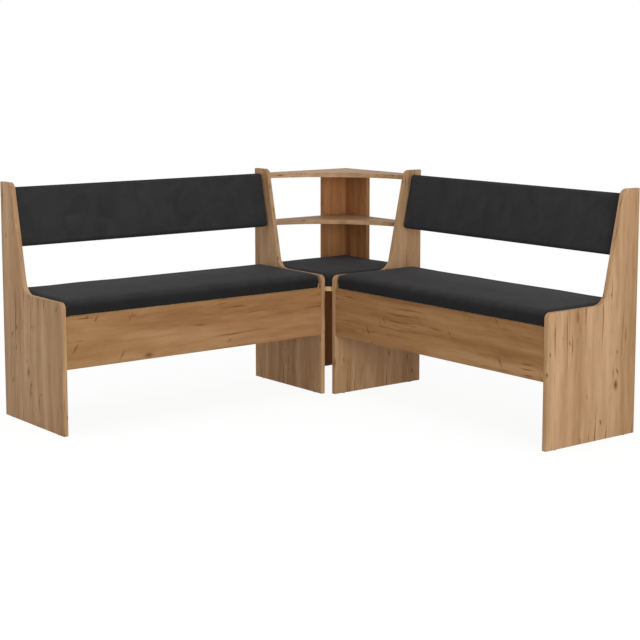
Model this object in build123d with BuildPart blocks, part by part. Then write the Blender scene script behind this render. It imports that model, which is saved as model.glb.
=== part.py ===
from build123d import *

import os
from math import cos, radians, sin, tan

# Plan: two equal wings that meet in a corner, all distances from the two walls
wing_length = 1500.0  # wall corner to the outer face of a wing
corner_overhang = 19.3  # corner side of the inner end panels beyond the front of the other wing
board = 16.0  # melamine-faced chipboard

# End panels, which carry everything
panel_depth = 410.7
panel_height = 804.0
panel_top_depth = 74.2  # where the sloped edge would meet the top
back_angle = 12.0  # slope of the backrest
top_round = 26.0
seat_hollow_round = 50.0  # between the sloped edge and the seat edge
front_round = 20.0
glide_height = 2.0
glide_radius = 6.5
glide_inset = 45.0

# Chest under each wing
seat_level = 392.0  # top of the chest, underside of the lid
seat_edge_rise = 46.0  # end panel's seat edge above the chest
apron_setback = 2.0
apron_depth = 172.5
chest_back_inset = 40.0  # leaves the lid room to swing clear of the wall
bearer = 20.0
bearer_lift = 3.0
bearer_short = 40.0
floor_thickness = 8.0
floor_gap = 1.0

# Upholstered lid
lid_gap = 2.0
lid_setback = 2.4
wrap = 4.0  # cover drawn round the edges of the boards
seat_edge_height = 49.0
seat_edge_round = 13.0
seat_crown = 4.0
seat_draw_in = 2.5

# Upholstered backrest
backrest_drop = 13.0  # top of the panels to the front top edge
backrest_height = 204.0
backrest_recess = 24.0  # behind the sloped edge of the panels
backrest_gap = 2.0
backrest_edge_height = 27.0
backrest_edge_round = 9.0
backrest_crown = 3.0
backrest_draw_in = 2.0

# Angle brackets behind the backrest and on the corner post
bracket_leg = 40.0
bracket_short_leg = 20.0
bracket_width = 20.0
bracket_steel = 2.0
bracket_edge = 50.0  # from the long edges of the backrest
bracket_post_edge = 40.0  # from the outer edge of a post board

# Butt hinges of the lids
hinge_length = 64.0
hinge_inset = 190.0
knuckle_count = 5
knuckle_radius = 3.0
knuckle_gap = 0.5
hinge_relief = 0.4
leaf_width = 18.0
leaf_thickness = 1.6
leaf_recess = 0.2
leaf_clearance = 0.3
pin_radius = 1.5
pin_clearance = 0.05
pin_head_radius = 2.4
pin_head = 1.0

# Countersunk hinge screws
screw_spread = 40.0
screw_from_axis = 12.0
screw_radius = 1.7
screw_head_radius = 3.2
screw_length = 13.0
screw_clearance = 0.1

# Cam fittings: a disc in the board, a bolt from it into the end panel
cam_radius = 7.5
cam_depth = 12.5
cam_setback = 34.0
cam_edge = 45.0
bolt_radius = 3.5
bolt_anchor = 11.0
bolt_gap = 0.3
fitting_clearance = 0.1

# Corner unit
post_width = 130.0
shelf_drop = 19.0  # top of the end panels to the top of the upper shelf
shelf_spacing = 163.0  # clear height between the two shelves
shelf_end_depth = 75.0
shelf_middle_depth = 193.0  # from each wall to the middle of the hollow front
corner_board_rise = 3.0  # above the chests
corner_nose = 30.0
cleat_width = 20.0
cleat_height = 30.0
cleat_end = 30.0
corner_pad_gap = 2.0
corner_edge_height = 44.0
corner_edge_round = 12.0
corner_crown = 4.0
corner_draw_in = 2.5

# Sections of the soft pads
rounding_steps = 3
crown_steps = 2
crown_share = 0.8  # how far in from the edges the crown still rises

# Places worked out from the sizes
corner_depth = panel_depth + corner_overhang  # wall to the corner side of the inner end panels
half = wing_length / 2
outer_face = board - half  # bench side of the outer end panel
inner_face = half - corner_depth - board  # bench side of the inner end panel
corner_face = half - corner_depth  # corner side of the inner end panel
seat_edge = seat_level + seat_edge_rise
slope = tan(radians(back_angle))

apron_front = panel_depth - apron_setback
apron_back = apron_front - board
apron_bottom = seat_level - apron_depth
chest_back_front = chest_back_inset + board
bearer_bottom = apron_bottom + bearer_lift
floor_level = bearer_bottom + bearer
lid_front = apron_front - lid_setback
lid_rear = chest_back_inset

hinge_axis = chest_back_inset - knuckle_radius - hinge_relief
hinge_places = (outer_face + hinge_inset, inner_face - hinge_inset)
knuckle_pitch = hinge_length / knuckle_count

cam_places = (outer_face + cam_setback, inner_face - cam_setback)
cam_heights = (apron_bottom + cam_edge, seat_level - cam_edge)
apron_bolts = [(apron_front - board / 2, height) for height in cam_heights]
chest_back_bolts = [(chest_back_inset + board / 2, height) for height in cam_heights]
bolt_reach = cam_setback - cam_radius - bolt_gap

top_shelf_bottom = panel_height - shelf_drop - board
middle_shelf_bottom = top_shelf_bottom - shelf_spacing - board
shelf_bolts = [
    (shelf_end_depth / 2, top_shelf_bottom + board / 2),
    ((shelf_end_depth + board) / 2, middle_shelf_bottom + board / 2),
]
corner_board_top = seat_level + corner_board_rise
corner_board_bottom = corner_board_top - board

DIAGONAL = Plane(origin=(0, 0, 0), z_dir=(1, -1, 0))


def from_wall(distance):
    """Coordinate, in X or Y, of a point at a distance from a wall."""
    return half - distance


def side_plane(x):
    """Section of the left wing: local X into the room, local Y up, facing the wing's outer end."""
    return Plane(origin=(x, from_wall(0), 0), x_dir=(0, -1, 0), z_dir=(-1, 0, 0))


def front_plane(distance):
    """Upright plane along the left wing, facing the room: local X along the wing, local Y up."""
    return Plane(origin=(0, from_wall(distance), 0), x_dir=(1, 0, 0), z_dir=(0, -1, 0))


def write(piece, node):
    """Label a finished piece and write its STEP file."""
    piece.part.label = node
    export_step(piece.part, f"parts/{node}.step")


def write_pair(piece, node):
    """Write a piece of the left wing, and its mirror image on the right wing."""
    write(piece, f"left_{node}")
    with BuildPart() as image:
        mirror(piece.part, about=DIAGONAL)
    write(image, f"right_{node}")


def wing_block(start, end, near, far, bottom, top, mode=Mode.ADD):
    """Square block of the left wing: along it, away from its wall, and up."""
    with BuildSketch(side_plane(end)) as section:
        with Locations(((near + far) / 2, (bottom + top) / 2)):
            Rectangle(far - near, top - bottom)
    extrude(section.sketch, amount=end - start, mode=mode)


def wing_rod(start, end, points, radius, mode=Mode.ADD):
    """Round bars along the left wing, through points of its section."""
    with BuildSketch(side_plane(end)) as section:
        with Locations(*points):
            Circle(radius)
    extrude(section.sketch, amount=end - start, mode=mode)


def bolts(points, reach, radius, mode=Mode.ADD):
    """Cam bolts, or their bores, at both ends of a board of the left wing."""
    wing_rod(outer_face - bolt_anchor, outer_face + reach, points, radius, mode)
    wing_rod(inner_face - reach, inner_face + bolt_anchor, points, radius, mode)


def cams(face, depth, radius, mode=Mode.ADD):
    """Cam discs, or their bores, in the upright face of a board of the left wing."""
    with BuildSketch(front_plane(face)) as discs:
        with Locations(*[(x, height) for x in cam_places for height in cam_heights]):
            Circle(radius)
    extrude(discs.sketch, amount=depth, mode=mode)


def inset_corners(corners, inset):
    """Corners of a convex outline, listed anticlockwise, moved in by an even distance."""
    moved = []
    for index, corner in enumerate(corners):
        here = Vector(*corner)
        before = (here - Vector(*corners[index - 1])).normalized()
        after = (Vector(*corners[(index + 1) % len(corners)]) - here).normalized()
        normals = [Vector(-side.Y, side.X) for side in (before, after)]
        moved.append(here + (normals[0] + normals[1]) * (inset / (1 + normals[0].dot(normals[1]))))
    return moved


def pad_levels(edge_height, edge_round, crown):
    """Inset, scale and height of each section of a pad: its side, rounded edge and crown."""
    levels = [(0.0, 1.0, 0.0)]
    for step in range(rounding_steps + 1):
        turn = radians(90.0 * step / rounding_steps)
        levels.append((edge_round * (1 - cos(turn)), 1.0, edge_height - edge_round * (1 - sin(turn))))
    for step in range(1, crown_steps + 1):
        share = step / crown_steps
        levels.append((edge_round, 1 - crown_share * share, edge_height + crown * (1 - (1 - share) ** 2)))
    return levels


def pad(plane, corners, levels, draw_in):
    """Crowned pad on a plane, with its sides drawn in between the corners."""
    centre = sum((Vector(*corner) for corner in corners), Vector()) / len(corners)
    sections = []
    for inset, scale, height in levels:
        outline = [centre + (corner - centre) * scale for corner in inset_corners(corners, inset)]
        sides = list(zip(outline, outline[1:] + outline[:1]))
        longest = max((end - start).length for start, end in sides)
        with BuildSketch(plane.offset(height)) as section:
            with BuildLine():
                for start, end in sides:
                    run = end - start
                    inward = Vector(-run.Y, run.X) * (draw_in / longest)
                    ThreePointArc(start, (start + end) / 2 + inward, end)
            make_face()
        sections.append(section.sketch)
    loft(sections, ruled=True)


def end_panel(x):
    """End panel of the left wing, one board thick, with its inner-end side at x."""
    top_front = (panel_top_depth, panel_height)
    hollow = (panel_top_depth + (panel_height - seat_edge) * slope, seat_edge)
    seat_front = (panel_depth, seat_edge)
    with BuildSketch(side_plane(x)) as profile:
        with BuildLine():
            Polyline(
                (0, glide_height),
                (0, panel_height),
                top_front,
                hollow,
                seat_front,
                (panel_depth, glide_height),
                close=True,
            )
        make_face()
        rounds = ((top_front, top_round), (hollow, seat_hollow_round), (seat_front, front_round))
        for corner, radius in rounds:
            fillet(profile.vertices().sort_by_distance(corner)[0], radius=radius)
    extrude(profile.sketch, amount=board)


os.makedirs("parts", exist_ok=True)

# End panels with the bores for the cam bolts
bolt_bore = bolt_radius + fitting_clearance
with BuildPart() as outer_end_panel:
    end_panel(outer_face)
    bolts(apron_bolts + chest_back_bolts, 0, bolt_bore, Mode.SUBTRACT)
write_pair(outer_end_panel, "outer_end_panel")

with BuildPart() as inner_end_panel:
    end_panel(corner_face)
    bolts(apron_bolts + chest_back_bolts, 0, bolt_bore, Mode.SUBTRACT)
    wing_rod(corner_face - bolt_anchor, corner_face, shelf_bolts, bolt_bore, Mode.SUBTRACT)
write_pair(inner_end_panel, "inner_end_panel")

with BuildPart() as glides:
    with BuildSketch() as discs:
        for x in (outer_face - board / 2, corner_face - board / 2):
            with Locations((x, from_wall(glide_inset)), (x, from_wall(panel_depth - glide_inset))):
                Circle(glide_radius)
    extrude(amount=glide_height)
write_pair(glides, "glides")

# Chest: apron, back, and a loose floor on two bearers
with BuildPart() as apron:
    wing_block(outer_face, inner_face, apron_back, apron_front, apron_bottom, seat_level)
    cams(apron_back, cam_depth, cam_radius + fitting_clearance, Mode.SUBTRACT)
    bolts(apron_bolts, cam_setback, bolt_bore, Mode.SUBTRACT)
write_pair(apron, "apron")

screw_line = from_wall(hinge_axis + screw_from_axis)
screw_points = [
    (x + offset, screw_line) for x in hinge_places for offset in (-screw_spread / 2, screw_spread / 2)
]
fixed_face = seat_level - leaf_recess
lid_face = seat_level + leaf_recess
fixed_screw_places = [Location((x, y, fixed_face)) for x, y in screw_points]
lid_screw_places = [Location((x, y, lid_face), (180, 0, 0)) for x, y in screw_points]
mortise = leaf_recess + leaf_thickness
mortise_end = hinge_axis + leaf_width + leaf_clearance
mortise_half = hinge_length / 2 + leaf_clearance

with BuildPart() as chest_back:
    wing_block(outer_face, inner_face, chest_back_inset, chest_back_front, apron_bottom, seat_level)
    cams(chest_back_front, -cam_depth, cam_radius + fitting_clearance, Mode.SUBTRACT)
    bolts(chest_back_bolts, cam_setback, bolt_bore, Mode.SUBTRACT)
    for x in hinge_places:
        ends = (x - mortise_half, x + mortise_half)
        wing_block(*ends, hinge_axis, mortise_end, seat_level - mortise, seat_level, Mode.SUBTRACT)
    with Locations(*fixed_screw_places):
        Hole(screw_radius + screw_clearance, screw_length)
write_pair(chest_back, "chest_back")

with BuildPart() as floor_bearers:
    for near in (chest_back_front, apron_back - bearer):
        ends = (outer_face + bearer_short, inner_face - bearer_short)
        wing_block(*ends, near, near + bearer, bearer_bottom, floor_level)
write_pair(floor_bearers, "floor_bearers")

with BuildPart() as chest_floor:
    wing_block(
        outer_face + floor_gap,
        inner_face - floor_gap,
        chest_back_front + floor_gap,
        apron_back - floor_gap,
        floor_level,
        floor_level + floor_thickness,
    )
write_pair(chest_floor, "chest_floor")

# Cam fittings that hold the apron and the chest back to the end panels
with BuildPart() as cam_locks:
    cams(apron_back, cam_depth, cam_radius)
    cams(chest_back_front, -cam_depth, cam_radius)
write_pair(cam_locks, "cam_locks")

with BuildPart() as cam_bolts:
    bolts(apron_bolts + chest_back_bolts, bolt_reach, bolt_radius)
write_pair(cam_bolts, "cam_bolts")

# Lid: a board inside its upholstery, recessed for the hinge leaves
lid_start = outer_face + lid_gap
lid_end = inner_face - lid_gap
lid_board = (
    lid_start + wrap,
    lid_end - wrap,
    lid_rear + wrap,
    lid_front - wrap,
    seat_level,
    seat_level + board,
)
with BuildPart() as seat_board:
    wing_block(*lid_board)
    for x in hinge_places:
        ends = (x - mortise_half, x + mortise_half)
        wing_block(*ends, hinge_axis, mortise_end, seat_level, seat_level + mortise, Mode.SUBTRACT)
    with Locations(*lid_screw_places):
        Hole(screw_radius + screw_clearance, screw_length)
write_pair(seat_board, "seat_board")

with BuildPart() as seat_cushion:
    pad(
        Plane.XY.offset(seat_level),
        [
            (lid_start, from_wall(lid_front)),
            (lid_end, from_wall(lid_front)),
            (lid_end, from_wall(lid_rear)),
            (lid_start, from_wall(lid_rear)),
        ],
        pad_levels(seat_edge_height, seat_edge_round, seat_crown),
        seat_draw_in,
    )
    wing_block(*lid_board, Mode.SUBTRACT)
    for x in hinge_places:
        ends = (x - mortise_half, x + mortise_half)
        wing_block(*ends, hinge_axis, lid_rear + wrap, seat_level, seat_level + mortise, Mode.SUBTRACT)
write_pair(seat_cushion, "seat_cushion")


def hinge_leaves(first, bottom):
    """Leaves of the butt hinges, with every second knuckle from the first one on."""
    plate_edge = hinge_axis + knuckle_radius + hinge_relief
    top = bottom + leaf_thickness
    for x in hinge_places:
        start = x - hinge_length / 2
        wing_block(start, start + hinge_length, plate_edge, hinge_axis + leaf_width, bottom, top)
        for knuckle in range(first, knuckle_count, 2):
            knuckle_start = start + knuckle * knuckle_pitch
            ends = (knuckle_start + knuckle_gap / 2, knuckle_start + knuckle_pitch - knuckle_gap / 2)
            wing_block(*ends, hinge_axis, plate_edge, bottom, top)
            wing_rod(*ends, [(hinge_axis, seat_level)], knuckle_radius)
    bore = pin_radius + pin_clearance
    for x in hinge_places:
        ends = (x - hinge_length / 2, x + hinge_length / 2)
        wing_rod(*ends, [(hinge_axis, seat_level)], bore, Mode.SUBTRACT)


def hinge_screws():
    """Countersunk screw below each current location."""
    sink = screw_head_radius - screw_radius
    top = (Align.CENTER, Align.CENTER, Align.MAX)
    Cone(screw_radius, screw_head_radius, sink, align=top)
    Cylinder(screw_radius, screw_length, align=top)


sunk_hole = (screw_radius + screw_clearance, screw_head_radius + screw_clearance, screw_length, 90)
with BuildPart() as hinge_fixed_leaves:
    hinge_leaves(0, fixed_face - leaf_thickness)
    with Locations(*fixed_screw_places):
        CounterSinkHole(*sunk_hole)
write_pair(hinge_fixed_leaves, "hinge_fixed_leaves")

with BuildPart() as hinge_lid_leaves:
    hinge_leaves(1, lid_face)
    with Locations(*lid_screw_places):
        CounterSinkHole(*sunk_hole)
write_pair(hinge_lid_leaves, "hinge_lid_leaves")

with BuildPart() as hinge_pins:
    for x in hinge_places:
        start, end = (x - hinge_length / 2, x + hinge_length / 2)
        wing_rod(start, end, [(hinge_axis, seat_level)], pin_radius)
        wing_rod(start - pin_head, start + knuckle_gap / 2, [(hinge_axis, seat_level)], pin_head_radius)
        wing_rod(end - knuckle_gap / 2, end + pin_head, [(hinge_axis, seat_level)], pin_head_radius)
write_pair(hinge_pins, "hinge_pins")

with BuildPart() as chest_screws:
    with Locations(*fixed_screw_places):
        hinge_screws()
write_pair(chest_screws, "hinge_chest_screws")

with BuildPart() as lid_screws:
    with Locations(*lid_screw_places):
        hinge_screws()
write_pair(lid_screws, "hinge_lid_screws")

# Backrest on its own tilted plane: local X along the wing, local Y up the slope, facing the room
tilt = radians(back_angle)
backrest_depth = backrest_edge_height + backrest_crown
front_bottom = panel_height - backrest_drop - backrest_height * cos(tilt)
front_bottom_distance = panel_top_depth + (panel_height - front_bottom) * slope - backrest_recess
backrest_plane = Plane(
    origin=(
        (outer_face + inner_face) / 2,
        from_wall(front_bottom_distance - backrest_depth * cos(tilt)),
        front_bottom - backrest_depth * sin(tilt),
    ),
    x_dir=(1, 0, 0),
    z_dir=(0, -cos(tilt), sin(tilt)),
)
backrest_half = (inner_face - outer_face) / 2 - backrest_gap

with BuildPart() as backrest_board:
    with BuildSketch(backrest_plane):
        with Locations((0, backrest_height / 2)):
            Rectangle(2 * (backrest_half - wrap), backrest_height - 2 * wrap)
    extrude(amount=board)
write_pair(backrest_board, "backrest_board")

with BuildPart() as backrest_pad:
    pad(
        backrest_plane,
        [
            (-backrest_half, 0),
            (backrest_half, 0),
            (backrest_half, backrest_height),
            (-backrest_half, backrest_height),
        ],
        pad_levels(backrest_edge_height, backrest_edge_round, backrest_crown),
        backrest_draw_in,
    )
    add(backrest_board.part, mode=Mode.SUBTRACT)
write_pair(backrest_pad, "backrest_pad")


def angle_bracket(plane):
    """Bent steel angle with its corner at the plane's origin, centred on the plane."""
    with BuildSketch(plane) as section:
        with BuildLine():
            Polyline(
                (0, 0),
                (bracket_leg, 0),
                (bracket_leg, bracket_steel),
                (bracket_steel, bracket_steel),
                (bracket_steel, bracket_short_leg),
                (0, bracket_short_leg),
                close=True,
            )
        make_face()
    extrude(section.sketch, amount=bracket_width / 2, both=True)


with BuildPart() as backrest_brackets:
    for height in (bracket_edge, backrest_height - bracket_edge):
        corner = backrest_plane.from_local_coords((-backrest_half - backrest_gap, height, 0))
        angle_bracket(Plane(origin=corner, x_dir=(1, 0, 0), z_dir=backrest_plane.y_dir))
    mirror(about=Plane.YZ.offset((outer_face + inner_face) / 2))
write_pair(backrest_brackets, "backrest_brackets")


def corner_block(corners, bottom, height):
    """Board of the corner unit, from the distances of its corners from the two walls."""
    with BuildSketch(Plane.XY.offset(bottom)) as plan:
        with BuildLine():
            Polyline(*[(from_wall(x), from_wall(y)) for x, y in corners], close=True)
        make_face()
    extrude(plan.sketch, amount=height)


def corner_shelf(rear, bottom):
    """Corner shelf with a hollow front, whose straight edges stand a distance from the walls."""
    left_end, right_end = (corner_depth, shelf_end_depth), (shelf_end_depth, corner_depth)
    middle = (shelf_middle_depth, shelf_middle_depth)
    with BuildSketch(Plane.XY.offset(bottom)) as plan:
        with BuildLine():
            edge = [right_end, (rear, corner_depth), (rear, rear), (corner_depth, rear), left_end]
            Polyline(*[(from_wall(x), from_wall(y)) for x, y in edge])
            ThreePointArc(*[(from_wall(x), from_wall(y)) for x, y in (left_end, middle, right_end)])
        make_face()
    extrude(plan.sketch, amount=board)


def shelf_cams(radius, mode=Mode.ADD):
    """Cam discs, or their bores, in the underside of the left ends of both shelves."""
    for distance, height in shelf_bolts:
        with BuildSketch(Plane.XY.offset(height - board / 2)) as disc:
            with Locations((corner_face + cam_setback, from_wall(distance))):
                Circle(radius)
        extrude(disc.sketch, amount=cam_depth, mode=mode)


def shelf_bores():
    """Bores for the cam fittings at the left end of a shelf."""
    shelf_cams(cam_radius + fitting_clearance, Mode.SUBTRACT)
    wing_rod(corner_face, corner_face + cam_setback, shelf_bolts, bolt_bore, Mode.SUBTRACT)


# Corner post of two equal boards, the right one butted against the left one
post_height = top_shelf_bottom - glide_height
right_start = board + post_width
with BuildPart() as post_left_board:
    corner_block([(0, 0), (post_width, 0), (post_width, board), (0, board)], glide_height, post_height)
write(post_left_board, "post_left_board")

with BuildPart() as post_right_board:
    corner_block(
        [(0, board), (board, board), (board, right_start), (0, right_start)], glide_height, post_height
    )
write(post_right_board, "post_right_board")

with BuildPart() as post_glides:
    with BuildSketch() as discs:
        with Locations(
            (from_wall(post_width / 2), from_wall(board / 2)),
            (from_wall(board / 2), from_wall(board + post_width / 2)),
        ):
            Circle(glide_radius)
    extrude(amount=glide_height)
write(post_glides, "post_glides")

# Shelves between the inner end panels, the upper one on top of the post
with BuildPart() as corner_top_shelf:
    corner_shelf(0, top_shelf_bottom)
    for turned in range(2):
        shelf_bores()
        mirror(about=DIAGONAL, mode=Mode.REPLACE)
write(corner_top_shelf, "corner_top_shelf")

with BuildPart() as corner_middle_shelf:
    corner_shelf(board, middle_shelf_bottom)
    for turned in range(2):
        shelf_bores()
        mirror(about=DIAGONAL, mode=Mode.REPLACE)
write(corner_middle_shelf, "corner_middle_shelf")

with BuildPart() as shelf_cam_locks:
    shelf_cams(cam_radius)
    mirror(about=DIAGONAL)
write(shelf_cam_locks, "shelf_cam_locks")

with BuildPart() as shelf_cam_bolts:
    wing_rod(corner_face - bolt_anchor, corner_face + bolt_reach, shelf_bolts, bolt_radius)
    mirror(about=DIAGONAL)
write(shelf_cam_bolts, "shelf_cam_bolts")

# Corner seat: a board on two cleats, with a loose cushion
nose = corner_depth - corner_nose
with BuildPart() as corner_seat_board:
    corner_block(
        [
            (board, board),
            (corner_depth, board),
            (corner_depth, nose),
            (nose, corner_depth),
            (board, corner_depth),
        ],
        corner_board_bottom,
        board,
    )
write(corner_seat_board, "corner_seat_board")

with BuildPart() as corner_cleat:
    wing_block(
        corner_face,
        corner_face + cleat_width,
        board + cleat_end,
        corner_depth - corner_nose - cleat_end,
        corner_board_bottom - cleat_height,
        corner_board_bottom,
    )
write_pair(corner_cleat, "corner_cleat")

pad_rear = from_wall(board + corner_pad_gap)
pad_side = from_wall(corner_depth - corner_pad_gap)
pad_nose = from_wall(nose - corner_pad_gap)
with BuildPart() as corner_cushion:
    pad(
        Plane.XY.offset(corner_board_top),
        [
            (pad_side, pad_nose),
            (pad_nose, pad_side),
            (pad_rear, pad_side),
            (pad_rear, pad_rear),
            (pad_side, pad_rear),
        ],
        pad_levels(corner_edge_height, corner_edge_round, corner_crown),
        corner_draw_in,
    )
write(corner_cushion, "corner_cushion")

with BuildPart() as post_brackets:
    for height in (corner_board_bottom, middle_shelf_bottom):
        corner = (from_wall(post_width - bracket_post_edge), from_wall(board), height)
        angle_bracket(Plane(origin=corner, x_dir=(0, -1, 0), z_dir=(1, 0, 0)))
    mirror(about=DIAGONAL)
write(post_brackets, "post_brackets")
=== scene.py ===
import logging
from dataclasses import dataclass, replace
from enum import Enum
from math import cos, pi, radians, sin
from typing import Any, ClassVar, Mapping, Sequence

import bmesh
import bpy
from bmesh.types import BMesh, BMFace, BMVert
from bpy.types import ID, Material, Mesh, Node, NodeSocket, NodeTree, Object
from mathutils import Matrix, Vector, noise


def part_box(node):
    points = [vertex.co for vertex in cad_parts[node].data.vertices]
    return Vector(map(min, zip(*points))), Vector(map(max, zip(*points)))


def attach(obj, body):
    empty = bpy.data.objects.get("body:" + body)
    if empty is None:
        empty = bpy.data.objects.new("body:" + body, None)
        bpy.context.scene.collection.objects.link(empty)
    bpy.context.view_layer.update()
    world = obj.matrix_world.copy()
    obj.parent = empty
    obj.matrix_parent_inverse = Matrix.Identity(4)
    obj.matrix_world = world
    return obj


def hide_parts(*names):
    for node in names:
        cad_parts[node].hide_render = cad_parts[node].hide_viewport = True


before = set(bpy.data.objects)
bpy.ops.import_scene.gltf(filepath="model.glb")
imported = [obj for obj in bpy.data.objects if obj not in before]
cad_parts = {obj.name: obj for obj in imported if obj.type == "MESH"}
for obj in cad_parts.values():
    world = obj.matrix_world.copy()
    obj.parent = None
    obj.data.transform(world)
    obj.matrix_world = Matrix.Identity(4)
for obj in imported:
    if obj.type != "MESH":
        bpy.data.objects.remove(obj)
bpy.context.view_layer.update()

MM = 0.001
BACK_ANGLE = radians(12)
COVER_WRAP = 4 * MM  # foam and cloth drawn round the edges of the boards
STRAIGHT = (0.0, 0.0, 0.0)

log = logging.getLogger("corner_bench")


class GrainAxis(Enum):
    """Direction of the wood grain, as the turn that lays it along the pattern's X axis."""

    X = (0.0, 0.0, 0.0)
    Y = (0.0, 0.0, -pi / 2)
    Z = (0.0, pi / 2, 0.0)


class Side(Enum):
    """The two wings, each with the grain axes along and across it."""

    LEFT = "left"
    RIGHT = "right"

    @property
    def along(self) -> GrainAxis:
        """Grain axis along this wing."""
        return GrainAxis.X if self is Side.LEFT else GrainAxis.Y

    @property
    def across(self) -> GrainAxis:
        """Grain axis across this wing."""
        return GrainAxis.Y if self is Side.LEFT else GrainAxis.X

    @property
    def place(self) -> Matrix:
        """Move of a piece modelled on the left wing to its place on this wing."""
        mirrored = Matrix(((0, 1, 0, 0), (1, 0, 0, 0), (0, 0, 1, 0), (0, 0, 0, 1)))
        return Matrix.Identity(4) if self is Side.LEFT else mirrored


def linear(hex_colour: str) -> tuple[float, float, float, float]:
    """Turn an sRGB hex colour into linear light.

    Args:
        hex_colour: Colour such as "#B48F67".

    Returns:
        Linear red, green, blue and an alpha of 1.
    """
    parts = [int(hex_colour[i : i + 2], 16) / 255 for i in (1, 3, 5)]
    levels = [c / 12.92 if c <= 0.04045 else ((c + 0.055) / 1.055) ** 2.4 for c in parts]
    return (*levels, 1.0)


def feed(node: Node, inputs: Mapping[str | int, Any]) -> None:
    """Set the inputs of a node.

    Args:
        node: The node.
        inputs: Socket name or number, with a value or the output socket to link.
    """
    for socket, value in inputs.items():
        if isinstance(value, NodeSocket):
            node.id_data.links.new(value, node.inputs[socket])
        else:
            node.inputs[socket].default_value = value


def add_node(
    tree: NodeTree,
    kind: str,
    inputs: Mapping[str | int, Any] | None = None,
    out: str | int = 0,
    ramp: Sequence[tuple[float, str]] = (),
    **settings: Any,
) -> NodeSocket:
    """Add a shader node with its settings, input values and links.

    Args:
        tree: Node tree that gets the node.
        kind: Blender's node type, after the ShaderNode that it starts with.
        inputs: Socket name or number, with a value or the output socket to link.
        out: Name or number of the output that is wanted.
        ramp: Places and hex colours of a colour ramp's stops.
        **settings: The node's own properties.

    Returns:
        That output.
    """
    node = tree.nodes.new(f"ShaderNode{kind}")
    for name, value in settings.items():
        setattr(node, name, value)
    if ramp:
        stops = node.color_ramp.elements
        stops[0].position, stops[1].position = ramp[0][0], ramp[-1][0]
        for place, _ in ramp[1:-1]:
            stops.new(place)
        for stop, (_, colour) in zip(stops, ramp):
            stop.color = linear(colour)
    feed(node, inputs or {})
    return node.outputs[out]


def new_material(name: str) -> tuple[Material, NodeTree, Node, NodeSocket]:
    """Start a material.

    Args:
        name: Name of the real material.

    Returns:
        The material, its node tree, its surface shader and the object's coordinates.
    """
    material = bpy.data.materials.new(name)
    material.use_nodes = True
    tree = material.node_tree
    return material, tree, tree.nodes["Principled BSDF"], add_node(tree, "TexCoord", out="Object")


def scaled(place: NodeSocket, size: Vector, turn: Sequence[float] = STRAIGHT) -> NodeSocket:
    """Turn coordinates in metres into ones in which a unit is a real size.

    Args:
        place: The coordinates.
        size: Length of a unit along X, Y and Z.
        turn: Turn before that.

    Returns:
        The new coordinates.
    """
    turned = add_node(place.id_data, "Mapping", {"Vector": place, "Rotation": turn})
    per_unit = [1 / length for length in size]
    return add_node(place.id_data, "Mapping", {"Vector": turned, "Scale": per_unit})


class OakTone(Enum):
    """Dark, middle and light brown of the printed oak: the panels' tone is the print's own; the darker,
    warmer tones of the aprons, chest backs and corner post are painted shade, standing for the shade and
    warm bounce light that fall on them.
    """

    PANEL = ("#9C7955", "#AE8A66", "#BF9C78")
    # Painted shade: darker, warmer copy of the oak for the aprons and chest backs.
    SHADED_RAIL = ("#88613D", "#9B734B", "#AA845D")
    # Painted shade: darker, warmer copy of the oak for the corner post.
    POST = ("#966540", "#A9774C", "#B98A60")


@dataclass(frozen=True)
class Mark:
    """Kind of tapered dark mark in the printed oak."""

    cell: Vector  # length and widths of a cell, which holds one mark at most
    share: float  # of the cells that have a mark
    turn: tuple[float, float, float] = STRAIGHT


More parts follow.
